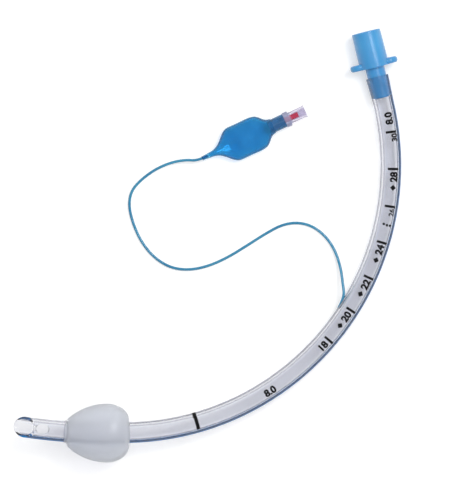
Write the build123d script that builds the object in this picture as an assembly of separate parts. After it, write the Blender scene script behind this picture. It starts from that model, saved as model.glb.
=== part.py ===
from build123d import *
import os
from math import atan2, cos, degrees, pi, radians, sin, sqrt, tan

# Cuffed endotracheal tube, bore 8.0 mm, in millimetres, lying on a table with +Z up.
# The bend of the tube is first modelled flat: the tip is at the origin of that flat frame, the centreline
# lies in its XY plane and bends to the left. The finished pieces are then laid on the table, where the cuff,
# the connector and the outside of the bend touch the surface.

# Shaft: a clear extruded tube
TUBE_BORE_RADIUS = 4.0
TUBE_WALL = 1.5
TIP_HEADING = -9.6
DISTAL_LENGTH = 67.5
DISTAL_BEND_RADIUS = 304.0
MAIN_LENGTH = 249.3
MAIN_BEND_RADIUS = 141.2
SEAT_LENGTH = 13.2

# Bevel at the tip and the side eye opposite it
BEVEL_LENGTH = 12.0
TIP_LAND = 0.4
TIP_ROUND = 0.4
EYE_STATION = 16.2
EYE_LENGTH = 6.9
EYE_WIDTH = 5.9

# Air lumen in the wall on the inside of the bend, and its port under the cuff
LUMEN_RADIUS = 0.35
LUMEN_PORT_STATION = 46.0
LUMEN_PORT_RADIUS = 0.25
LUMEN_RUN_PAST_PORT = 1.5

# Radiopaque strand, extruded flush into the outside of the bend
STRAND_DEPTH = 0.5
STRAND_ANGLE = 40.0

# Cuff: a thin blown shell. The collar at its distal end points out, the one at its proximal end is turned in
CUFF_WALL = 0.3
CUFF_RADIUS = 15.6
CROWN_STATION = 50.5
DISTAL_SWEEP_RADIUS = 31.3
DISTAL_SWEEP_ANGLE = 41.0
DISTAL_TOE_RADIUS = 3.0
PROXIMAL_SWEEP_RADIUS = 13.9
PROXIMAL_SWEEP_ANGLE = 39.0
PROXIMAL_SHOULDER_RADIUS = 7.3
COLLAR_WALL = 0.35
DISTAL_COLLAR_LENGTH = 1.2
PROXIMAL_COLLAR_LENGTH = 3.6

# Connector: conical for a breathing circuit at one end, barbed for the tube at the other
CONE_LENGTH = 16.2
CONE_RIM_RADIUS = 7.68
CONE_TAPER = 1 / 40
RIM_ROUND = 0.5
FLANGE_THICKNESS = 3.3
FLANGE_RADIUS = 8.15
EAR_SPAN = 25.7
EAR_WIDTH = 9.0
EAR_ROUND = 1.3
NECK_LENGTH = 5.2
NECK_RADIUS = 5.1
BARB_LENGTH = 11.4
BARB_ROOT_RADIUS = 4.6
BARB_TIP_RADIUS = 4.08
BARB_LEAD = 0.5
CONNECTOR_BORE_RADIUS = 3.45
SOCKET_RADIUS = 6.25
SOCKET_DEPTH = 14.0
FUNNEL_LENGTH = 5.5

# Inflation line: its route on the table, each point as (x, y) from the line's start in the notch,
# and as its height above the table. The first and the last height are worked out.
LINE_RADIUS = 0.75
LINE_NOTCH_STATION = 199.0
LINE_NOTCH_RADIUS = 5.05
LINE_RISE = 0.25
LINE_BEND_SHARE = 0.45
LINE_ROUTE = [
    (3.2, 5.6, None),
    (2.3, 12.9, 5.3),
    (1.2, 21.3, 3.3),
    (-1.8, 30.8, 1.3),
    (-7.1, 38.5, 0.75),
    (-14.3, 43.8, 0.75),
    (-22.2, 45.5, 0.75),
    (-30.4, 44.1, 0.75),
    (-39.0, 39.3, 0.75),
    (-48.9, 32.9, 0.75),
    (-58.5, 26.9, 0.75),
    (-68.8, 22.1, 0.75),
    (-79.5, 19.8, 0.75),
    (-89.5, 21.1, 0.75),
    (-98.0, 26.4, 0.75),
    (-104.5, 34.1, 0.75),
    (-109.0, 43.4, 0.75),
    (-111.7, 53.5, 0.75),
    (-110.5, 61.9, 0.75),
    (-104.6, 68.4, 0.8),
    (-96.8, 73.9, 1.3),
    (-88.6, 77.3, 2.3),
    (-81.0, 78.5, 3.3),
    (-75.2, 78.0, None),
]

# Pilot balloon: a blown bag, from the tail that holds the line to the neck that holds the valve.
# Each section is an ellipse: distance from the tail's mouth, half width, half height
BALLOON_HEADING = 25.0
BALLOON_WALL = 0.4
TAIL_SOCKET_DEPTH = 3.4
LINE_RUN_TO_TAIL = 2.8
BALLOON_SECTIONS = [
    (0.0, 1.2, 1.2),
    (2.5, 1.27, 1.25),
    (5.0, 1.45, 1.42),
    (7.2, 1.8, 1.7),
    (9.0, 2.5, 2.05),
    (10.8, 3.7, 2.5),
    (13.4, 6.1, 3.1),
    (16.0, 8.4, 3.7),
    (17.8, 9.2, 3.9),
    (21.0, 9.4, 4.0),
    (27.0, 9.4, 4.05),
    (32.4, 9.25, 4.0),
    (34.8, 8.5, 3.95),
    (37.2, 6.4, 3.9),
    (39.4, 4.6, 3.9),
    (41.5, 4.0, 3.85),
]
NECK_OUTER_RADIUS = 3.7
NECK_INNER_RADIUS = 3.1
NECK_END = 48.3

# Valve in the neck: clear housing, red plunger, seal, spring and retainer
VALVE_FLANGE_RADIUS = 4.1
VALVE_FLANGE_THICKNESS = 2.8
SKIRT_LENGTH = 9.0
BARREL_LENGTH = 9.2
BARREL_RADIUS = 3.05
LIP_RADIUS = 3.4
LIP_LENGTH = 0.9
LUER_MOUTH_RADIUS = 2.145
LUER_TAPER = 0.03
LUER_DEPTH = 7.5
GUIDE_CLEARANCE = 0.2
CHAMBER_RADIUS = 2.3
CHAMBER_TOP = 3.6
STEM_RADIUS = 1.5
STEM_PROUD = 5.0
STEM_SLOT_WIDTH = 0.6
STEM_SLOT_DEPTH = 1.6
HEAD_RADIUS = 2.0
HEAD_THICKNESS = 0.9
SEAL_THICKNESS = 0.7
SEAL_RADIUS = 2.1
PIN_RADIUS = 0.6
PIN_LENGTH = 2.0
SPRING_WIRE_RADIUS = 0.14
SPRING_COIL_RADIUS = 1.2
SPRING_TURNS = 4
SPRING_END_GAP = 0.02
RETAINER_THICKNESS = 1.4
RETAINER_HOLE_RADIUS = 0.9

TUBE_RADIUS = TUBE_BORE_RADIUS + TUBE_WALL
DISTAL_TURN = degrees(DISTAL_LENGTH / DISTAL_BEND_RADIUS)
MAIN_TURN = degrees(MAIN_LENGTH / MAIN_BEND_RADIUS)
SEAT_STATION = DISTAL_LENGTH + MAIN_LENGTH
TUBE_LENGTH = SEAT_STATION + SEAT_LENGTH
REACH = 4 * TUBE_RADIUS


def direction(heading):
    """The unit vector of a heading in the flat frame."""
    return Vector(cos(radians(heading)), sin(radians(heading)), 0)


def left_of(heading):
    """The unit vector to the left of a heading, where the bends have their centres."""
    return direction(heading + 90)


DISTAL_CENTRE = left_of(TIP_HEADING) * DISTAL_BEND_RADIUS
MAIN_HEADING = TIP_HEADING + DISTAL_TURN
MAIN_START = DISTAL_CENTRE - left_of(MAIN_HEADING) * DISTAL_BEND_RADIUS
MAIN_CENTRE = MAIN_START + left_of(MAIN_HEADING) * MAIN_BEND_RADIUS
SEAT_HEADING = MAIN_HEADING + MAIN_TURN
SEAT_START = MAIN_CENTRE - left_of(SEAT_HEADING) * MAIN_BEND_RADIUS


def heading_at(distance):
    """The centreline's heading at a distance from the tip."""
    if distance <= DISTAL_LENGTH:
        return TIP_HEADING + degrees(distance / DISTAL_BEND_RADIUS)
    if distance <= SEAT_STATION:
        return MAIN_HEADING + degrees((distance - DISTAL_LENGTH) / MAIN_BEND_RADIUS)
    return SEAT_HEADING


def point_at(distance):
    """The centreline's point at a distance from the tip, also past the machine end."""
    heading = heading_at(distance)
    if distance <= DISTAL_LENGTH:
        return DISTAL_CENTRE - left_of(heading) * DISTAL_BEND_RADIUS
    if distance <= SEAT_STATION:
        return MAIN_CENTRE - left_of(heading) * MAIN_BEND_RADIUS
    return SEAT_START + direction(heading) * (distance - SEAT_STATION)


def station(distance):
    """The plane across the tube: x up, y to the outside of the bend, z along the tube."""
    return Plane(origin=point_at(distance), x_dir=(0, 0, 1), z_dir=direction(heading_at(distance)))


def along_tube(section, start, end):
    """A section carried along the centreline: turned about each bend's centre and drawn along the straight."""
    bends = [
        (0, DISTAL_LENGTH, DISTAL_CENTRE, DISTAL_BEND_RADIUS),
        (DISTAL_LENGTH, SEAT_STATION, MAIN_CENTRE, MAIN_BEND_RADIUS),
    ]
    spans = []
    for bend_start, bend_end, centre, radius in bends:
        first = max(start, bend_start)
        last = min(end, bend_end)
        if last > first:
            turn = degrees((last - first) / radius)
            spans.append(revolve(station(first) * section, axis=Axis(centre, (0, 0, 1)), revolution_arc=turn))
    if end > SEAT_STATION:
        first = max(start, SEAT_STATION)
        spans.append(extrude(station(first) * section, amount=end - first))
    whole = spans[0]
    for span in spans[1:]:
        whole += span
    return whole


def seat_line(depth):
    """The stretched wall at a depth from its bore: a cone over the barb, relaxed again past the barb's end."""
    barb_end = SEAT_LENGTH - BARB_LENGTH
    return [
        (TUBE_BORE_RADIUS + depth, 0),
        (BARB_TIP_RADIUS + depth, barb_end),
        (BARB_ROOT_RADIUS + depth, SEAT_LENGTH),
    ]


def seat_solid(inside, outside):
    """The stretched end of the tube between two depths in its wall, turned about the straight axis."""
    outline = Plane.XZ * make_face(Polyline(*seat_line(outside), *reversed(seat_line(inside)), close=True))
    turned = revolve(outline, axis=Axis.Z)
    return station(SEAT_STATION).location * turned


def tube_layer(inside, outside):
    """The tube's whole length between two depths in its wall, along the bends and over the barb."""
    section = Circle(TUBE_BORE_RADIUS + outside) - Circle(TUBE_BORE_RADIUS + inside)
    return along_tube(section, 0, SEAT_STATION) + seat_solid(inside, outside)


def bevel_cutter():
    """What the slanting cut takes off the tip: it leaves the underside and clears the top."""
    rise = (BEVEL_LENGTH - TIP_LAND) / (2 * TUBE_RADIUS)
    low = -TUBE_RADIUS - 1
    high = TUBE_RADIUS + 1
    corners = [(low, TIP_LAND - rise), (high, BEVEL_LENGTH + rise), (high, -REACH), (low, -REACH)]
    outline = Plane.XZ * make_face(Polyline(*corners, close=True))
    return station(0).location * extrude(outline, amount=REACH, both=True)


def eye_cutter():
    """The side eye's oval, from the centreline down through the far wall."""
    plane = Plane(origin=point_at(EYE_STATION), x_dir=direction(heading_at(EYE_STATION)), z_dir=(0, 0, -1))
    return extrude(plane * Ellipse(EYE_LENGTH / 2, EYE_WIDTH / 2), amount=REACH)


def lumen():
    """The air lumen in the wall and the port that opens it under the cuff."""
    offset = TUBE_BORE_RADIUS + TUBE_WALL / 2
    channel = Pos(0, -offset) * Circle(LUMEN_RADIUS)
    run = along_tube(channel, LUMEN_PORT_STATION - LUMEN_RUN_PAST_PORT, LINE_NOTCH_STATION + LINE_RADIUS)
    port_start = station(LUMEN_PORT_STATION).from_local_coords((0, -offset, 0))
    outward = left_of(heading_at(LUMEN_PORT_STATION))
    port = extrude(Plane(origin=port_start, z_dir=outward) * Circle(LUMEN_PORT_RADIUS), amount=TUBE_WALL)
    return run + port


def shaft_and_strand():
    """The shaft's wall, divided into the clear tube and the strand that is extruded into it."""
    wall = tube_layer(0, TUBE_WALL) - bevel_cutter()
    cut_face = wall.faces().filter_by(GeomType.PLANE).sort_by(lambda face: face.center().length)[0]
    wall = fillet(cut_face.edges(), TIP_ROUND)
    skin = tube_layer(TUBE_WALL - STRAND_DEPTH, TUBE_WALL)
    half_width = REACH * tan(radians(STRAND_ANGLE / 2))
    wedge = make_face(Polyline((0, 0), (half_width, REACH), (-half_width, REACH), close=True))
    sector = along_tube(wedge, 0, TUBE_LENGTH)
    strand = skin & sector & wall
    shaft = wall - eye_cutter() - lumen() - strand
    return shaft, strand


def cuff_outline(inset):
    """Half of the blown shell's outline, in stations and radii, as tangent arcs on both sides of the crown."""
    crown = (CROWN_STATION, CUFF_RADIUS - inset)
    distal = JernArc(crown, (-1, 0), DISTAL_SWEEP_RADIUS - inset, DISTAL_SWEEP_ANGLE)
    toe = JernArc(distal @ 1, distal % 1, DISTAL_TOE_RADIUS - inset, 90 - DISTAL_SWEEP_ANGLE)
    proximal = JernArc(crown, (1, 0), PROXIMAL_SWEEP_RADIUS - inset, -PROXIMAL_SWEEP_ANGLE)
    shoulder = JernArc(
        proximal @ 1, proximal % 1, PROXIMAL_SHOULDER_RADIUS - inset, PROXIMAL_SWEEP_ANGLE - 90
    )
    feet = Polyline(toe @ 1, ((toe @ 1).X, 0), ((shoulder @ 1).X, 0), shoulder @ 1)
    return make_face([distal, toe, proximal, shoulder, feet]), (toe @ 1).X, (shoulder @ 1).X


def cuff_shell():
    """The cuff: the blown shell about the tube's direction at the crown, and its collars on the tube."""
    outer, distal_foot, proximal_foot = cuff_outline(0)
    inner, _, _ = cuff_outline(CUFF_WALL)
    along = Plane(origin=point_at(CROWN_STATION), x_dir=direction(heading_at(CROWN_STATION)), z_dir=(0, 0, 1))
    to_crown = along.location * Pos(-CROWN_STATION, 0, 0)
    blown = to_crown * revolve(outer, axis=Axis.X)
    hollow = to_crown * revolve(inner, axis=Axis.X)
    overlap = 2 * CUFF_WALL
    sleeve = Circle(TUBE_RADIUS + COLLAR_WALL)
    collars = along_tube(sleeve, distal_foot - DISTAL_COLLAR_LENGTH, distal_foot + overlap)
    collars += along_tube(sleeve, proximal_foot - PROXIMAL_COLLAR_LENGTH, proximal_foot)
    tube = along_tube(Circle(TUBE_RADIUS), distal_foot - 2 * DISTAL_COLLAR_LENGTH, proximal_foot + TUBE_RADIUS)
    return (blown - hollow) + collars - tube


def connector():
    """The connector, moulded in one piece, drawn up from the tube's end face."""
    flange_top = NECK_LENGTH + FLANGE_THICKNESS
    rim = flange_top + CONE_LENGTH
    cone_root = CONE_RIM_RADIUS + CONE_LENGTH * CONE_TAPER / 2
    barb_end_radius = BARB_TIP_RADIUS - BARB_LEAD / 2
    outer = Polyline(
        (0, -BARB_LENGTH),
        (barb_end_radius, -BARB_LENGTH),
        (BARB_TIP_RADIUS + barb_slope() * BARB_LEAD, BARB_LEAD - BARB_LENGTH),
        (BARB_ROOT_RADIUS, 0),
        (NECK_RADIUS, 0),
        (NECK_RADIUS, NECK_LENGTH),
        (FLANGE_RADIUS, NECK_LENGTH),
        (FLANGE_RADIUS, flange_top),
        (cone_root, flange_top),
        (CONE_RIM_RADIUS, rim),
        (0, rim),
        close=True,
    )
    body = revolve(Plane.XZ * make_face(outer), axis=Axis.Z)
    ears = Pos(0, 0, NECK_LENGTH) * extrude(SlotOverall(EAR_SPAN, EAR_WIDTH, rotation=90), amount=FLANGE_THICKNESS)
    ears = fillet(ears.edges(), EAR_ROUND)
    body += ears
    socket_floor = rim - SOCKET_DEPTH
    funnel_floor = socket_floor - FUNNEL_LENGTH
    bore = Polyline(
        (0, -BARB_LENGTH),
        (CONNECTOR_BORE_RADIUS, -BARB_LENGTH),
        (CONNECTOR_BORE_RADIUS, funnel_floor),
        (SOCKET_RADIUS, socket_floor),
        (SOCKET_RADIUS, rim),
        (0, rim),
        close=True,
    )
    body -= revolve(Plane.XZ * make_face(bore), axis=Axis.Z)
    rim_edges = body.edges().filter_by(GeomType.CIRCLE).group_by(Axis.Z)[-1]
    body = fillet(rim_edges, RIM_ROUND)
    return station(TUBE_LENGTH).location * body


def barb_slope():
    """How much the barb's radius grows for each millimetre towards the neck."""
    return (BARB_ROOT_RADIUS - BARB_TIP_RADIUS) / BARB_LENGTH


def table_plane():
    """The table in the flat frame: the plane that touches the cuff, the flange and the outside of the bend.

    A ball of the radius r rests on it where its centre is r above it. The balls are the crown of the cuff,
    the flange and the tube at the station where its direction is level on the table.
    """
    cuff = point_at(CROWN_STATION)
    flange = point_at(TUBE_LENGTH + NECK_LENGTH + FLANGE_THICKNESS / 2)
    chord = flange - cuff
    heading = degrees(atan2(chord.Y, chord.X))
    for _ in range(6):
        bulge = MAIN_CENTRE - left_of(heading) * MAIN_BEND_RADIUS
        to_cuff = cuff - bulge
        to_flange = flange - bulge
        cuff_lift = CUFF_RADIUS - TUBE_RADIUS
        flange_lift = FLANGE_RADIUS - TUBE_RADIUS
        area = to_cuff.X * to_flange.Y - to_cuff.Y * to_flange.X
        normal_x = (cuff_lift * to_flange.Y - flange_lift * to_cuff.Y) / area
        normal_y = (to_cuff.X * flange_lift - to_flange.X * cuff_lift) / area
        heading = degrees(atan2(normal_x, -normal_y))
        if heading < 0:
            heading += 180
    normal = Vector(normal_x, normal_y, sqrt(1 - normal_x**2 - normal_y**2))
    level_x = Vector(0, 1, 0).cross(normal)
    return Plane(origin=bulge - normal * TUBE_RADIUS, x_dir=level_x, z_dir=normal)


def rounded_route(points):
    """The inflation line's path: straight runs joined by arcs as large as the runs beside them allow."""
    radii = []
    for before, corner, after in zip(points, points[1:], points[2:]):
        incoming = corner - before
        outgoing = after - corner
        half_turn = radians(incoming.get_angle(outgoing)) / 2
        radii.append(LINE_BEND_SHARE * min(incoming.length, outgoing.length) / tan(half_turn))
    print("radii of the line's bends:", [round(radius, 1) for radius in radii])
    return FilletPolyline(*points, radius=radii)


def balloon_form(thinner):
    """The bag's solid form, thinner by a wall all round, from its tail to the root of its neck."""
    sections = []
    for distance, half_width, half_height in BALLOON_SECTIONS:
        across = Plane(origin=(distance, 0, 0), x_dir=(0, 1, 0), z_dir=(1, 0, 0))
        sections.append(across * Ellipse(half_width - thinner, half_height - thinner))
    return loft(sections)


def cylinder_along_x(radius, start, end):
    """A round bar along the balloon's axis, between two distances from the tail's mouth."""
    return extrude(Plane(origin=(start, 0, 0), z_dir=(1, 0, 0)) * Circle(radius), amount=end - start)


def pilot_balloon():
    """The bag with its tail socket and the round neck that grips the valve's skirt."""
    neck_root = BALLOON_SECTIONS[-1][0]
    form = balloon_form(0) + cylinder_along_x(NECK_OUTER_RADIUS, neck_root - NECK_OUTER_RADIUS / 2, NECK_END)
    hollow = balloon_form(BALLOON_WALL)
    tail_cut = cylinder_along_x(REACH, -REACH, TAIL_SOCKET_DEPTH + 2 * BALLOON_WALL)
    form -= hollow - tail_cut
    form -= cylinder_along_x(LUMEN_RADIUS, TAIL_SOCKET_DEPTH, BALLOON_SECTIONS[2][0])
    form -= cylinder_along_x(LINE_RADIUS, 0, TAIL_SOCKET_DEPTH)
    form -= cylinder_along_x(NECK_INNER_RADIUS, neck_root - 2 * BALLOON_WALL, NECK_END)
    return form


def turned(corners):
    """A solid turned about the valve's axis from its (distance, radius) corners."""
    return revolve(make_face(Polyline(*corners, close=True)), axis=Axis.X)


def valve_housing():
    """The clear housing: skirt in the neck, flange, and barrel with the tapered socket for a syringe."""
    seat = -CHAMBER_TOP
    skirt_end = -VALVE_FLANGE_THICKNESS - SKIRT_LENGTH
    luer_floor = BARREL_LENGTH - LUER_DEPTH
    luer_floor_radius = LUER_MOUTH_RADIUS - LUER_DEPTH * LUER_TAPER
    guide = STEM_RADIUS + GUIDE_CLEARANCE
    outer = turned([
        (skirt_end, 0),
        (skirt_end, NECK_INNER_RADIUS),
        (-VALVE_FLANGE_THICKNESS, NECK_INNER_RADIUS),
        (-VALVE_FLANGE_THICKNESS, VALVE_FLANGE_RADIUS),
        (0, VALVE_FLANGE_RADIUS),
        (0, BARREL_RADIUS),
        (BARREL_LENGTH - LIP_LENGTH, BARREL_RADIUS),
        (BARREL_LENGTH - LIP_LENGTH, LIP_RADIUS),
        (BARREL_LENGTH, LIP_RADIUS),
        (BARREL_LENGTH, 0),
    ])
    passage = turned([
        (skirt_end, 0),
        (skirt_end, CHAMBER_RADIUS),
        (seat, CHAMBER_RADIUS),
        (seat, guide),
        (luer_floor, guide),
        (luer_floor, luer_floor_radius),
        (BARREL_LENGTH, LUER_MOUTH_RADIUS),
        (BARREL_LENGTH, 0),
    ])
    return outer - passage


def valve_plunger():
    """The red plunger: slotted stem, head below the seat and the pin that guides the spring."""
    head_top = -CHAMBER_TOP - SEAL_THICKNESS
    head_bottom = head_top - HEAD_THICKNESS
    plunger = turned([
        (head_bottom - PIN_LENGTH, 0),
        (head_bottom - PIN_LENGTH, PIN_RADIUS),
        (head_bottom, PIN_RADIUS),
        (head_bottom, HEAD_RADIUS),
        (head_top, HEAD_RADIUS),
        (head_top, STEM_RADIUS),
        (STEM_PROUD, STEM_RADIUS),
        (STEM_PROUD, 0),
    ])
    slot = Pos(STEM_PROUD, 0, 0) * Box(2 * STEM_SLOT_DEPTH, 2 * HEAD_RADIUS, STEM_SLOT_WIDTH)
    return plunger - slot


def plunger_seal():
    """The soft ring on the stem that closes against the seat."""
    top = -CHAMBER_TOP
    bottom = top - SEAL_THICKNESS
    return turned([(bottom, STEM_RADIUS), (bottom, SEAL_RADIUS), (top, SEAL_RADIUS), (top, STEM_RADIUS)])


def spring_space():
    """Where the spring stands: from the retainer to the plunger's head."""
    skirt_end = -VALVE_FLANGE_THICKNESS - SKIRT_LENGTH
    return skirt_end + RETAINER_THICKNESS, -CHAMBER_TOP - SEAL_THICKNESS - HEAD_THICKNESS


def valve_spring():
    """The steel coil between the retainer and the plunger's head."""
    bottom, top = spring_space()
    end_inset = SPRING_WIRE_RADIUS + SPRING_END_GAP
    height = top - bottom - 2 * end_inset
    coil = Helix(height / SPRING_TURNS, height, SPRING_COIL_RADIUS)
    wire = sweep(Plane(origin=coil @ 0, z_dir=coil % 0) * Circle(SPRING_WIRE_RADIUS), path=coil, is_frenet=True)
    upright = Plane(origin=(bottom + end_inset, 0, 0), x_dir=(0, 1, 0), z_dir=(1, 0, 0))
    return upright.location * wire


def spring_retainer():
    """The cap pressed into the bottom of the skirt, with a hole for air and for the plunger's pin."""
    bottom = -VALVE_FLANGE_THICKNESS - SKIRT_LENGTH
    top = bottom + RETAINER_THICKNESS
    return turned([
        (bottom, RETAINER_HOLE_RADIUS),
        (bottom, CHAMBER_RADIUS),
        (top, CHAMBER_RADIUS),
        (top, RETAINER_HOLE_RADIUS),
    ])


# The tube and what sits on it are laid on the table, then moved so that the origin is under their middle
shaft, strand = shaft_and_strand()
lay_down = table_plane().location.inverse()
on_tube = {
    "tube_shaft": lay_down * shaft,
    "radiopaque_line": lay_down * strand,
    "cuff": lay_down * cuff_shell(),
    "machine_connector": lay_down * connector(),
}
box = Compound(list(on_tube.values())).bounding_box()
to_origin = Pos(-box.center().X, -box.center().Y, -box.min.Z)
parts = {name: to_origin * piece for name, piece in on_tube.items()}
to_table = to_origin * lay_down

# The inflation line, from the notch in the shaft to the pilot balloon's tail
notch = to_table * Pos(station(LINE_NOTCH_STATION).from_local_coords((0, -LINE_NOTCH_RADIUS, 0)))
line_start = notch.position
balloon_height = VALVE_FLANGE_RADIUS
route = [line_start]
for x, y, height in LINE_ROUTE:
    if height is None:
        height = line_start.Z + LINE_RISE if len(route) == 1 else balloon_height
    route.append(Vector(line_start.X + x, line_start.Y + y, height))
tail_mouth = route[-1] + direction(BALLOON_HEADING) * LINE_RUN_TO_TAIL
route.append(tail_mouth + direction(BALLOON_HEADING) * TAIL_SOCKET_DEPTH)
line_path = rounded_route(route)
line = sweep(Plane(origin=line_path @ 0, z_dir=line_path % 0) * Circle(LINE_RADIUS), path=line_path)
print("line length", round(line_path.length, 1))
print("line volume over section times length", line.volume / (line_path.length * pi * LINE_RADIUS**2))
parts["inflation_line"] = line
parts["tube_shaft"] -= line

# The pilot balloon lies on the table with the valve in its neck
balloon_frame = Plane(origin=tail_mouth, x_dir=direction(BALLOON_HEADING), z_dir=(0, 0, 1)).location
valve_frame = balloon_frame * Pos(NECK_END + VALVE_FLANGE_THICKNESS, 0, 0)
parts["pilot_balloon"] = balloon_frame * pilot_balloon()
parts["valve_housing"] = valve_frame * valve_housing()
parts["valve_plunger"] = valve_frame * valve_plunger()
parts["plunger_seal"] = valve_frame * plunger_seal()
parts["valve_spring"] = valve_frame * valve_spring()
parts["spring_retainer"] = valve_frame * spring_retainer()

os.makedirs("parts", exist_ok=True)
for name, piece in parts.items():
    piece.label = name
    export_step(piece, f"parts/{name}.step")
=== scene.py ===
"""Looks of a cuffed endotracheal tube that lies on a table and is seen from above."""

import math

import bmesh
import bpy
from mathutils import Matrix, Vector


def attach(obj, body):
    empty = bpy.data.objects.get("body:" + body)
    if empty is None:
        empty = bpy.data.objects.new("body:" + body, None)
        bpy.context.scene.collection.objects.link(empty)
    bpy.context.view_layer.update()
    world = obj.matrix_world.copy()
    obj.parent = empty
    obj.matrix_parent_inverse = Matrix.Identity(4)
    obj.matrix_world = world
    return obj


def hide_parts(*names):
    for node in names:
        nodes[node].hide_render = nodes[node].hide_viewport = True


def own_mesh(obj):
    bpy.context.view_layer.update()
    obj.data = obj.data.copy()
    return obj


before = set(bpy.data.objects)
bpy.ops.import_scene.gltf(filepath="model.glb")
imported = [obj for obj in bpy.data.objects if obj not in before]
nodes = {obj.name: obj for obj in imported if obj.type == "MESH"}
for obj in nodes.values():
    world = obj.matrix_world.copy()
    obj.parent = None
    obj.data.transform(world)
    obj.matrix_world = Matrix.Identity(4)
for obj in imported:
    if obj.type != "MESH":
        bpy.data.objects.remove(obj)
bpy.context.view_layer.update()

# Camera, lamps and table. The tube is seen from straight above with a long lens, on a white
# sheet under soft light that comes from the upper right, so its shadows fall below and to the left.
pixels_per_metre = 1884
picture_width = 450 / pixels_per_metre
camera_distance = 3.0
middle_height = 0.008


def put_in_scene(name, data):
    """A new object at the origin, linked to the scene."""
    thing = bpy.data.objects.new(name, data)
    bpy.context.scene.collection.objects.link(thing)
    return thing


camera_data = bpy.data.cameras.new("camera")
camera = put_in_scene("camera", camera_data)
camera.location = (0.00906, -0.00259, middle_height + camera_distance)
camera.rotation_euler = (0, 0, 0.0035)
camera_data.sensor_fit = "HORIZONTAL"
camera_data.sensor_width = 36
camera_data.lens = 36 * camera_distance / picture_width
camera_data.clip_start = 0.05
camera_data.clip_end = 20
bpy.context.scene.camera = camera
bpy.context.scene.view_settings.view_transform = "Standard"

for name, place, power, width in (
    ("key lamp", (0.55, 0.45, 1.10), 6.0, 0.45),
    ("overhead lamp", (0.10, 0.20, 1.40), 6.0, 1.1),
):
    lamp_data = bpy.data.lights.new(name, "AREA")
    lamp_data.energy = power
    lamp_data.size = width
    lamp = put_in_scene(name, lamp_data)
    lamp.location = place
    lamp.rotation_euler = (-Vector(place)).to_track_quat("-Z", "Y").to_euler()
    lamp.visible_glossy = name == "key lamp"
    lamp.visible_transmission = name == "key lamp"


def set_inputs(node, values):
    """Sets a node's inputs, each by its name."""
    for name, value in values.items():
        node.inputs[name].default_value = value


def white_for_sight(tree):
    """One where the camera, a mirror or glass looks, and nothing where light falls."""
    path = tree.nodes.new("ShaderNodeLightPath")
    total = path.outputs["Is Camera Ray"]
    for ray in ("Is Glossy Ray", "Is Transmission Ray"):
        add = tree.nodes.new("ShaderNodeMath")
        add.operation = "MAXIMUM"
        tree.links.new(total, add.inputs[0])
        tree.links.new(path.outputs[ray], add.inputs[1])
        total = add.outputs[0]
    return total


# The room is white to the camera. Gloss and glass see it darken above the table, and it lights the
# tube at half strength.
world = bpy.data.worlds.new("white room")
world.use_nodes = True
bpy.context.scene.world = world
tree = world.node_tree
background = tree.nodes["Background"]
background.inputs["Color"].default_value = (1, 1, 1, 1)
ways = tree.nodes.new("ShaderNodeTexCoord")
height = tree.nodes.new("ShaderNodeSeparateXYZ")
walls = tree.nodes.new("ShaderNodeMapRange")
set_inputs(walls, {"From Min": 0.20, "From Max": 0.45, "To Min": 1.0, "To Max": 0.35})
sight = tree.nodes.new("ShaderNodeLightPath")
seen = tree.nodes.new("ShaderNodeMath")
seen.operation = "MAXIMUM"
room = tree.nodes.new("ShaderNodeMapRange")
room.inputs["To Min"].default_value = 0.5
tree.links.new(ways.outputs["Generated"], height.inputs[0])
tree.links.new(height.outputs["Z"], walls.inputs["Value"])
tree.links.new(walls.outputs[0], seen.inputs[0])
tree.links.new(sight.outputs["Is Camera Ray"], seen.inputs[1])
tree.links.new(white_for_sight(tree), room.inputs["Value"])
tree.links.new(seen.outputs[0], room.inputs["To Max"])
tree.links.new(room.outputs[0], background.inputs["Strength"])


def mesh_from(shape, name):
    """The mesh of a finished bmesh, which is then freed."""
    mesh = bpy.data.meshes.new(name)
    shape.to_mesh(mesh)
    shape.free()
    return mesh


def new_finish(name):
    """A new material with its node tree and its shader."""
    finish = bpy.data.materials.new(name)
    finish.use_nodes = True
    return finish, finish.node_tree, finish.node_tree.nodes["Principled BSDF"]


# The sheet glows a little to the camera, gloss and glass alone, so it looks white and keeps shadows.
paper, tree, shader = new_finish("white sheet")
set_inputs(shader, {
    "Base Color": (0.8, 0.8, 0.8, 1),
    "Roughness": 0.9,
    "Specular IOR Level": 0,
    "Emission Color": (1, 1, 1, 1),
})
seen_direct = tree.nodes.new("ShaderNodeLightPath")
brightness = tree.nodes.new("ShaderNodeMapRange")
set_inputs(brightness, {"To Min": 0.25, "To Max": 0.36})
glow = tree.nodes.new("ShaderNodeMapRange")
tree.links.new(seen_direct.outputs["Is Camera Ray"], brightness.inputs["Value"])
tree.links.new(brightness.outputs[0], glow.inputs["To Max"])
tree.links.new(white_for_sight(tree), glow.inputs["Value"])
tree.links.new(glow.outputs[0], shader.inputs["Emission Strength"])
sheet = bmesh.new()
bmesh.ops.create_grid(sheet, x_segments=1, y_segments=1, size=1.6)
sheet_mesh = mesh_from(sheet, "white_sheet")
sheet_mesh.materials.append(paper)
put_in_scene("white_sheet", sheet_mesh)

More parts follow.
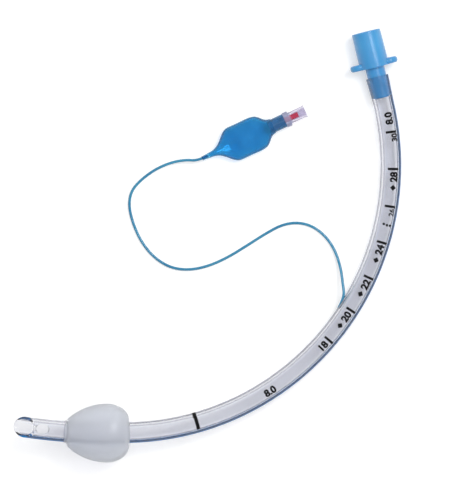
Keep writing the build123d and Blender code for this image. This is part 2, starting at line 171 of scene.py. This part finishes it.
# Inflation line: a limp blue tube, 1.5 mm thick, that carries air from the lumen in the shaft's wall
# to the pilot balloon. It is cemented into the notch, drops to the table and lies in two loose bends.
line_radius = 0.00075
line_route = [
    (0.06943, -0.03322, 0.00660),
    (0.07263, -0.02762, 0.00685),
    (0.07173, -0.02032, 0.00530),
    (0.07063, -0.01192, 0.00330),
    (0.06763, -0.00242, 0.00130),
    (0.06233, 0.00528, 0.00075),
    (0.05513, 0.01058, 0.00075),
    (0.04723, 0.01228, 0.00075),
    (0.03903, 0.01088, 0.00075),
    (0.03043, 0.00608, 0.00075),
    (0.02053, -0.00032, 0.00075),
    (0.01093, -0.00632, 0.00075),
    (0.00063, -0.01112, 0.00075),
    (-0.01007, -0.01342, 0.00075),
    (-0.02007, -0.01212, 0.00075),
    (-0.02857, -0.00682, 0.00075),
    (-0.03507, 0.00088, 0.00075),
    (-0.03957, 0.01018, 0.00075),
    (-0.04227, 0.02028, 0.00075),
    (-0.04107, 0.02868, 0.00075),
    (-0.03517, 0.03518, 0.00080),
    (-0.02737, 0.04068, 0.00130),
    (-0.01917, 0.04408, 0.00230),
    (-0.01157, 0.04528, 0.00330),
    (-0.00577, 0.04478, 0.00410),
    (-0.00015, 0.04740, 0.00410),
]


def unevenness(tree, scale, detail=2):
    """Soft patches fixed in the material, about so many to the metre."""
    place = tree.nodes.new("ShaderNodeTexCoord")
    noise = tree.nodes.new("ShaderNodeTexNoise")
    set_inputs(noise, {"Scale": scale, "Detail": detail})
    tree.links.new(place.outputs["Object"], noise.inputs["Vector"])
    return noise.outputs["Fac"]


def between(tree, share, low, high):
    """A colour that goes from the low stop to the high one with a share from 0 to 1."""
    ramp = tree.nodes.new("ShaderNodeValToRGB")
    for number, (position, colour) in enumerate((low, high)):
        ramp.color_ramp.elements[number].position = position
        ramp.color_ramp.elements[number].color = (*colour, 1)
    tree.links.new(share, ramp.inputs["Fac"])
    return ramp.outputs["Color"]


line_curve = bpy.data.curves.new("inflation_line_dressed", "CURVE")
line_curve.dimensions = "3D"
line_curve.resolution_u = 12
line_curve.bevel_depth = line_radius
line_curve.bevel_resolution = 5
line_curve.use_fill_caps = True
spline = line_curve.splines.new("NURBS")
spline.points.add(len(line_route) - 1)
for point, place in zip(spline.points, line_route):
    point.co = (*place, 1)
spline.order_u = 3
spline.use_endpoint_u = True
line = put_in_scene("inflation_line_dressed", line_curve)
line_blue, tree, shader = new_finish("blue line tubing")
set_inputs(shader, {"Roughness": 0.22, "IOR": 1.5, "Transmission Weight": 0.25, "Coat Weight": 0.4})
mottle = unevenness(tree, scale=60)
tint = between(tree, mottle, (0.3, (0.03, 0.27, 0.50)), (0.7, (0.06, 0.36, 0.58)))
tree.links.new(tint, shader.inputs["Base Color"])
line_curve.materials.append(line_blue)
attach(line, "tube")
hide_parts("inflation_line")


# Tube shaft: clear flexible PVC, extruded in one length and set in its bend by heat. Its wall is
# 1.5 mm thick and bends what is seen through it, so its edges look grey and its strand doubled; the
# grey of the edges is also painted shade, a darker colour where the surface turns away.
def uneven_surface(tree, shader, relief, strength, depth):
    """Makes the surface wavy by a relief, up to a depth in metres."""
    bump = tree.nodes.new("ShaderNodeBump")
    set_inputs(bump, {"Strength": strength, "Distance": depth})
    tree.links.new(relief, bump.inputs["Height"])
    tree.links.new(bump.outputs["Normal"], shader.inputs["Normal"])


def soft_shadow(tree, shader, colour):
    """Lets a tinted part of the light through, so that a clear piece casts a pale shadow."""
    through = tree.nodes.new("ShaderNodeBsdfTransparent")
    through.inputs["Color"].default_value = (*colour, 1)
    rays = tree.nodes.new("ShaderNodeLightPath")
    lit = tree.nodes.new("ShaderNodeMixShader")
    tree.links.new(rays.outputs["Is Shadow Ray"], lit.inputs["Fac"])
    tree.links.new(shader.outputs[0], lit.inputs[1])
    tree.links.new(through.outputs[0], lit.inputs[2])
    tree.links.new(lit.outputs[0], tree.nodes["Material Output"].inputs["Surface"])


def give_finish(node, finish):
    """Puts a finish on a piece that comes from the frame."""
    for slot in nodes[node].material_slots:
        slot.material = finish


clear_pvc, tree, shader = new_finish("clear pvc")
set_inputs(shader, {"Roughness": 0.03, "IOR": 1.53, "Transmission Weight": 1.0})
# Painted shade: the colour turns dark grey where the surface turns away from view, so the edges look
# darker.
grazing = tree.nodes.new("ShaderNodeLayerWeight")
middle_tint = (0.30, (0.945, 0.95, 0.98))
painted_edge_shade = (0.50, (0.30, 0.31, 0.37))
tint = between(tree, grazing.outputs["Facing"], middle_tint, painted_edge_shade)
tree.links.new(tint, shader.inputs["Base Color"])
ripple = unevenness(tree, scale=60, detail=3)
uneven_surface(tree, shader, ripple, strength=0.03, depth=0.0004)
soft_shadow(tree, shader, (0.72, 0.73, 0.76))
absorption = tree.nodes.new("ShaderNodeVolumeAbsorption")
set_inputs(absorption, {"Color": (0.50, 0.50, 0.62, 1), "Density": 15})
tree.links.new(absorption.outputs[0], tree.nodes["Material Output"].inputs["Volume"])
give_finish("tube_shaft", clear_pvc)

# Radiopaque line: a strand of PVC filled with a heavy blue powder, extruded into the wall on the
# outer side of the bend, so that the tube shows on an X-ray. It is one with the clear wall, so it
# reaches a hair into it and no gap mirrors the light.
strand_blue, tree, shader = new_finish("filled blue pvc")
set_inputs(shader, {"Roughness": 0.5, "Specular IOR Level": 0.15})
speckle = unevenness(tree, scale=400, detail=3)
tint = between(tree, speckle, (0.3, (0.008, 0.19, 0.52)), (0.7, (0.018, 0.27, 0.68)))
tree.links.new(tint, shader.inputs["Base Color"])

# The tube's own frame and its two bends, each as its length and its radius along the centreline
tip = Vector((-0.102985, -0.095577, 0.020155))
along = Vector((0.996188, 0.002167, -0.087202))
across = Vector((0, 0.999691, 0.024844))
upward = Vector((0.087228, -0.024749, 0.995881))
tip_heading = math.radians(-9.6)
first_bend = (0.0675, 0.304)
main_bend = (0.2493, 0.1412)
main_heading = tip_heading + first_bend[0] / first_bend[1]
first_centre = tip + first_bend[1] * (math.cos(tip_heading) * across - math.sin(tip_heading) * along)
main_centre = first_centre - (first_bend[1] - main_bend[1]) * (
    math.cos(main_heading) * across - math.sin(main_heading) * along
)
bends_meet_at_x = -0.0365
bond = 0.00006
skin_slope = 0.8


def copy_of(node):
    """A bmesh of a piece from the frame, with its loose triangles joined."""
    shape = bmesh.new()
    shape.from_mesh(nodes[node].data)
    bmesh.ops.remove_doubles(shape, verts=shape.verts[:], dist=0.000001)
    return shape


strand = copy_of("radiopaque_line")
strand.normal_update()
moves = []
for vert in strand.verts:
    outward = vert.co - (first_centre if vert.co.x < bends_meet_at_x else main_centre)
    outward -= outward.dot(upward) * upward
    outward.normalize()
    into_wall = Vector()
    for face in vert.link_faces:
        if face.normal.dot(outward) < skin_slope:
            into_wall += face.normal
    if into_wall.length > 0:
        moves.append((vert, into_wall.normalized() * bond))
for vert, move in moves:
    vert.co += move
strand_mesh = mesh_from(strand, "radiopaque_strand")
strand_mesh.shade_smooth()
strand_mesh.set_sharp_from_angle(angle=math.radians(30))
strand_mesh.materials.append(strand_blue)
strand_piece = put_in_scene("radiopaque_strand", strand_mesh)
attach(strand_piece, "tube")
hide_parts("radiopaque_line")

# Printed marks: black ink on the shaft, a film of a few hundredths of a millimetre. Depths in
# centimetres from the tip, a short bar at each even one and a diamond at odd ones, three dots, the
# bore at both ends, and a band that is set at the vocal cords. They are laid round the wall.
shaft_radius = 0.0055
ink_height = 0.00002
ink_film = 0.00003
longest_edge = 0.0006


def on_shaft(station, sideways, height):
    """A point of the shaft's skin: metres from the tip, round the wall and above the skin."""
    heading = tip_heading
    x = 0
    y = 0
    left = station
    for length, radius in (first_bend, main_bend):
        turn = min(left, length) / radius
        x += radius * (math.sin(heading + turn) - math.sin(heading))
        y += radius * (math.cos(heading) - math.cos(heading + turn))
        heading += turn
        left -= min(left, length)
    x += left * math.cos(heading)
    y += left * math.sin(heading)
    angle = sideways / shaft_radius
    reach = (shaft_radius + height) * math.sin(angle)
    rise = (shaft_radius + height) * math.cos(angle)
    x -= reach * math.sin(heading)
    y += reach * math.cos(heading)
    return tip + x * along + y * across + rise * upward


def raise_film(flat):
    """Gives a flat bmesh the thickness of the ink."""
    skin = bmesh.ops.extrude_face_region(flat, geom=flat.faces[:])
    lifted = [item for item in skin["geom"] if isinstance(item, bmesh.types.BMVert)]
    bmesh.ops.translate(flat, verts=lifted, vec=(0, 0, ink_film))


ink, tree, shader = new_finish("black ink")
set_inputs(shader, {"Roughness": 0.6, "Specular IOR Level": 0.15})
grain = unevenness(tree, scale=1500)
tint = between(tree, grain, (0.35, (0.003, 0.003, 0.004)), (0.75, (0.008, 0.008, 0.010)))
tree.links.new(tint, shader.inputs["Base Color"])


def print_on_shaft(name, flat, station, sideways):
    """Lays a flat bmesh, drawn in metres about its own centre, round the shaft as an ink film."""
    bmesh.ops.triangulate(flat, faces=flat.faces[:])
    for step in range(2):
        long_edges = [edge for edge in flat.edges if edge.calc_length() > longest_edge]
        bmesh.ops.subdivide_edges(flat, edges=long_edges, cuts=2)
        bmesh.ops.triangulate(flat, faces=flat.faces[:])
    raise_film(flat)
    for vert in flat.verts:
        height = ink_height + vert.co.z
        vert.co = on_shaft(station + vert.co.x, sideways + vert.co.y, height)
    bmesh.ops.recalc_face_normals(flat, faces=flat.faces[:])
    mesh = mesh_from(flat, name)
    mesh.materials.append(ink)
    mark = put_in_scene(name, mesh)
    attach(mark, "tube")


def drawn_bar(length, width, steps):
    """A flat bar across the tube, in steps across its width."""
    bar = bmesh.new()
    bmesh.ops.create_grid(bar, x_segments=1, y_segments=steps, size=0.5)
    bmesh.ops.scale(bar, verts=bar.verts[:], vec=(length, width, 1))
    return bar


def drawn_spot(radius, corners):
    """A flat spot with so many corners."""
    spot = bmesh.new()
    bmesh.ops.create_circle(spot, cap_ends=True, segments=corners, radius=radius)
    return spot


for label, station, sideways, size, weight in (
    ("8.0", 0.3073, -0.0005, 0.0053, 0.00027),
    ("30", 0.2970, -0.0022, 0.0043, 0.00022),
    ("28", 0.2762, -0.0011, 0.0053, 0.00027),
    ("26", 0.2574, -0.0020, 0.0040, 0.00012),
    ("24", 0.2370, -0.0006, 0.0053, 0.00027),
    ("22", 0.2172, -0.0007, 0.0053, 0.00027),
    ("20", 0.1973, -0.0004, 0.0053, 0.00027),
    ("18", 0.1778, -0.0004, 0.0053, 0.00027),
    ("8.0", 0.1406, -0.0005, 0.0053, 0.00027),
):
    words = bpy.data.curves.new("number", "FONT")
    words.body = label
    words.size = size
    words.offset = weight
    words.align_x = "CENTER"
    words.align_y = "CENTER"
    words_object = put_in_scene("number", words)
    drawn = bpy.data.meshes.new_from_object(words_object)
    bpy.data.objects.remove(words_object)
    flat = bmesh.new()
    flat.from_mesh(drawn)
    bmesh.ops.remove_doubles(flat, verts=flat.verts[:], dist=0.00001)
    middle_x = (min(v.co.x for v in flat.verts) + max(v.co.x for v in flat.verts)) / 2
    middle_y = (min(v.co.y for v in flat.verts) + max(v.co.y for v in flat.verts)) / 2
    bmesh.ops.translate(flat, verts=flat.verts[:], vec=(-middle_x, -middle_y, 0))
    name = "number_" + label.replace(".", "_") + f"_at_{station * 1000:.0f}"
    print_on_shaft(name, flat, station, sideways)

for depth_cm, station in (
    (30, 0.3000),
    (28, 0.2804),
    (26, 0.2605),
    (24, 0.2410),
    (22, 0.2212),
    (20, 0.2015),
    (18, 0.1819),
):
    bar = drawn_bar(length=0.0013, width=0.0060, steps=8)
    print_on_shaft(f"bar_{depth_cm}", bar, station, -0.0007)

for depth_cm, station, sideways in (
    (27, 0.2705, -0.0010),
    (23, 0.2312, -0.0006),
    (21, 0.2115, -0.0005),
    (19, 0.1916, -0.0004),
):
    print_on_shaft(f"diamond_{depth_cm}", drawn_spot(0.0016, corners=4), station, sideways)

for name, station, sideways in (
    ("dot_1", 0.2508, 0.0010),
    ("dot_2", 0.2505, -0.0008),
    ("dot_3", 0.2506, -0.0026),
):
    print_on_shaft(name, drawn_spot(0.0007, corners=12), station, sideways)

print_on_shaft("cord_band", drawn_bar(length=0.0019, width=0.0175, steps=24), 0.0982, 0.0051)

# Side eye: an oval hole punched through the wall opposite the bevel, so that air still passes when
# the tip is blocked. A matt, nearly black ring round it is painted shade for the dark outline of the
# cut wall, and it shows through the clear wall above.
eye_station = 0.0162
eye_half_length = 0.00345
eye_half_width = 0.00295
# Painted shade: a dark ring laid on the shaft round the hole, with soft random patches in it.
painted_shade_ring, tree, shader = new_finish("painted shade round eye")
set_inputs(shader, {"Roughness": 0.8, "Specular IOR Level": 0.2})
ring_mottle = unevenness(tree, scale=1200)
tint = between(tree, ring_mottle, (0.3, (0.07, 0.08, 0.10)), (0.7, (0.14, 0.15, 0.18)))
tree.links.new(tint, shader.inputs["Base Color"])
eye = bmesh.new()
bmesh.ops.create_circle(eye, cap_ends=False, segments=64, radius=1)
bmesh.ops.scale(eye, verts=eye.verts[:], vec=(eye_half_length, eye_half_width, 1))
grown = bmesh.ops.extrude_edge_only(eye, edges=eye.edges[:])
outer_edge = [item for item in grown["geom"] if isinstance(item, bmesh.types.BMVert)]
bmesh.ops.scale(eye, verts=outer_edge, vec=(1.09, 1.10, 1))
raise_film(eye)
for vert in eye.verts:
    below = (math.pi - math.asin(vert.co.y / shaft_radius)) * shaft_radius
    vert.co = on_shaft(eye_station + vert.co.x, below, ink_height + vert.co.z)
bmesh.ops.recalc_face_normals(eye, faces=eye.faces[:])
eye_mesh = mesh_from(eye, "side_eye_shade_ring")
eye_mesh.materials.append(painted_shade_ring)
eye_edge = put_in_scene("side_eye_shade_ring", eye_mesh)
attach(eye_edge, "tube")

# Cuff: a blown PVC film, matt on the outside, with a short collar at each end cemented to the shaft.
# It is shown inflated, and the shaft can be made out dimly inside it.
frosted, tree, shader = new_finish("frosted pvc film")
set_inputs(shader, {
    "Base Color": (0.89, 0.91, 0.945, 1),
    "Roughness": 0.34,
    "IOR": 1.4,
    "Transmission Weight": 0.75,
})
haze = unevenness(tree, scale=700, detail=4)
uneven_surface(tree, shader, haze, strength=0.15, depth=0.0002)
soft_shadow(tree, shader, (0.72, 0.72, 0.76))
give_finish("cuff", frosted)

# Machine connector: one moulding of sky blue polypropylene, with the 15 mm cone that takes the
# breathing circuit, two ears to hold it by, and a barb that is pushed into the shaft.
connector_blue, tree, shader = new_finish("sky blue polypropylene")
set_inputs(shader, {
    "Roughness": 0.30,
    "IOR": 1.49,
    "Coat Weight": 0.5,
    "Coat Roughness": 0.22,
    "Subsurface Weight": 0.08,
    "Subsurface Scale": 0.002,
})
flow = unevenness(tree, scale=45, detail=3)
tint = between(tree, flow, (0.3, (0.040, 0.27, 0.60)), (0.7, (0.06, 0.34, 0.68)))
tree.links.new(tint, shader.inputs["Base Color"])
grain = unevenness(tree, scale=900)
uneven_surface(tree, shader, grain, strength=0.06, depth=0.0002)
give_finish("machine_connector", connector_blue)

# Pilot balloon: a bag of thin blue PVC film, welded round the line at its tail and round the valve
# at its neck. It is seen through, so its neck looks darker than its middle; its rim looks darker too,
# partly by seeing through the film and partly by painted shade where the film turns away.
balloon_blue, tree, shader = new_finish("blue pvc film")
set_inputs(shader, {"Roughness": 0.12, "IOR": 1.45, "Transmission Weight": 1.0})
cloud = unevenness(tree, scale=110, detail=3)
tint = between(tree, cloud, (0.3, (0.13, 0.58, 0.84)), (0.7, (0.21, 0.67, 0.90)))
# Painted shade: the colour is multiplied down to dark blue where the film turns away, so the rim
# looks darker.
grazing = tree.nodes.new("ShaderNodeLayerWeight")
painted_rim_shade = between(tree, grazing.outputs["Facing"], (0.12, (1, 1, 1)), (0.45, (0.12, 0.26, 0.40)))
deepen = tree.nodes.new("ShaderNodeMix")
deepen.data_type = "RGBA"
deepen.blend_type = "MULTIPLY"
deepen.inputs["Factor"].default_value = 1
tree.links.new(tint, deepen.inputs[6])
tree.links.new(painted_rim_shade, deepen.inputs[7])
tree.links.new(deepen.outputs[2], shader.inputs["Base Color"])
uneven_surface(tree, shader, cloud, strength=0.25, depth=0.0006)
soft_shadow(tree, shader, (0.62, 0.70, 0.80))
give_finish("pilot_balloon", balloon_blue)

# Valve housing: a clear moulding, pushed and cemented into the balloon's neck up to its flange.
# The flange is duller and greyer than the barrel that takes the syringe.
flange_face = (0.043079, 0.067560, 0.0041)
valve_heading = math.radians(25)
flange_end = 0.0001
barrel_start = 0.0012
clear_valve, tree, shader = new_finish("clear moulding")
shader.inputs["IOR"].default_value = 1.5
# Painted shade: the colour turns a darker lavender grey where the surface turns away, so the
# housing's edges show.
grazing = tree.nodes.new("ShaderNodeLayerWeight")
middle_tint = (0.20, (0.80, 0.77, 0.88))
painted_edge_shade = (0.65, (0.36, 0.33, 0.48))
barrel_with_painted_rim_shade = between(tree, grazing.outputs["Facing"], middle_tint, painted_edge_shade)
depths = tree.nodes.new("ShaderNodeMix")
depths.data_type = "RGBA"
depths.inputs[6].default_value = (0.55, 0.58, 0.78, 1)
tree.links.new(barrel_with_painted_rim_shade, depths.inputs[7])
tree.links.new(depths.outputs[2], shader.inputs["Base Color"])
uneven_surface(tree, shader, unevenness(tree, scale=500), strength=0.1, depth=0.0002)
place = tree.nodes.new("ShaderNodeTexCoord")
from_flange = tree.nodes.new("ShaderNodeMapping")
from_flange.vector_type = "TEXTURE"
set_inputs(from_flange, {"Location": flange_face, "Rotation": (0, 0, valve_heading)})
outward = tree.nodes.new("ShaderNodeSeparateXYZ")
tree.links.new(place.outputs["Object"], from_flange.inputs["Vector"])
tree.links.new(from_flange.outputs["Vector"], outward.inputs[0])
for socket, at_flange, at_mouth in (
    (shader.inputs["Roughness"], 0.3, 0.05),
    (shader.inputs["Transmission Weight"], 0.75, 1.0),
    (depths.inputs["Factor"], 0.0, 1.0),
):
    along_valve = tree.nodes.new("ShaderNodeMapRange")
    set_inputs(along_valve, {
        "From Min": flange_end,
        "From Max": barrel_start,
        "To Min": at_flange,
        "To Max": at_mouth,
    })
    tree.links.new(outward.outputs["X"], along_valve.inputs["Value"])
    tree.links.new(along_valve.outputs[0], socket)
soft_shadow(tree, shader, (0.75, 0.74, 0.80))
give_finish("valve_housing", clear_valve)

# Inside the housing: the red plunger with its soft ring, the steel spring that shuts it, and the
# white cap that the spring stands on.
for node, name, colour, darker, roughness, metal in (
    ("valve_plunger", "red acetal", (0.95, 0.04, 0.12), (0.84, 0.025, 0.09), 0.3, 0.0),
    ("plunger_seal", "grey silicone", (0.30, 0.30, 0.32), (0.22, 0.22, 0.24), 0.5, 0.0),
    ("valve_spring", "spring steel", (0.62, 0.62, 0.64), (0.45, 0.45, 0.47), 0.25, 1.0),
    ("spring_retainer", "white moulding", (0.80, 0.80, 0.82), (0.70, 0.70, 0.72), 0.4, 0.0),
):
    finish, tree, shader = new_finish(name)
    set_inputs(shader, {"Roughness": roughness, "Metallic": metal})
    tint = between(tree, unevenness(tree, scale=500), (0.3, darker), (0.7, colour))
    tree.links.new(tint, shader.inputs["Base Color"])
    give_finish(node, finish)

# The coil stands on the cap and is 5.2 mm long; a pushed stem shortens it by 1.2 mm, towards the
# cap. Here it is only copied as a piece of its own, at rest.
coil_mesh = mesh_from(copy_of("valve_spring"), "valve_spring_coil")
coil_mesh.shade_smooth()
coil_mesh.materials.append(bpy.data.materials["spring steel"])
coil_piece = put_in_scene("valve_spring_coil", coil_mesh)
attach(coil_piece, "tube")
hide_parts("valve_spring")
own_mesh(coil_piece)
